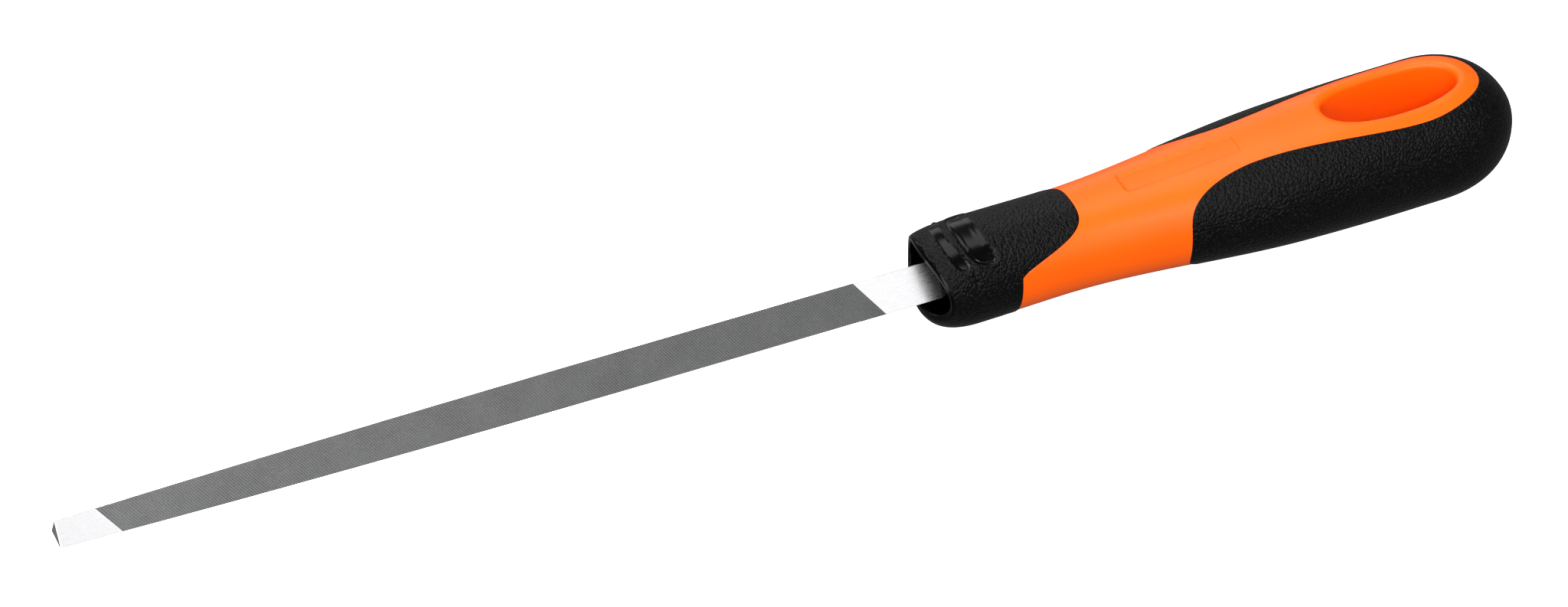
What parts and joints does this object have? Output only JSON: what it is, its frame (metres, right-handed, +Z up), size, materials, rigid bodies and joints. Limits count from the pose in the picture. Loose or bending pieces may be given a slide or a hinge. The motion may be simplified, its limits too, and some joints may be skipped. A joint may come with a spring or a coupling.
{
  "type": "three-square file",
  "caption": "Tapered triangular saw file with a single-cut blade, pushed by its tang into a moulded handle with soft grips and an oval hanging hole.",
  "frame": {"origin": "centre of the tool's length and width, on the surface that the handle lies on", "axes": "+X along the file's axis from the tip to the butt, +Z up through the hanging hole, an edge of the blade upwards"},
  "size_m": [0.2617, 0.025, 0.0234],
  "materials": {
    "steel": "bright cut steel, ground smooth at the tip and heel",
    "core_plastic": "satin moulded plastic",
    "soft_grip": "fine grained soft elastomer"
  },
  "bodies": {
    "handle": {"handle_core": "core_plastic", "front_grip": "soft_grip", "rear_grip": "soft_grip"},
    "file": {"file_blade": "steel"}
  },
  "joints": [
    {"name": "tang_slide", "type": "slide", "parent": "handle", "child": "file", "axis": [-1, 0, 0], "range_m": [0, 0.055]}
  ]
}
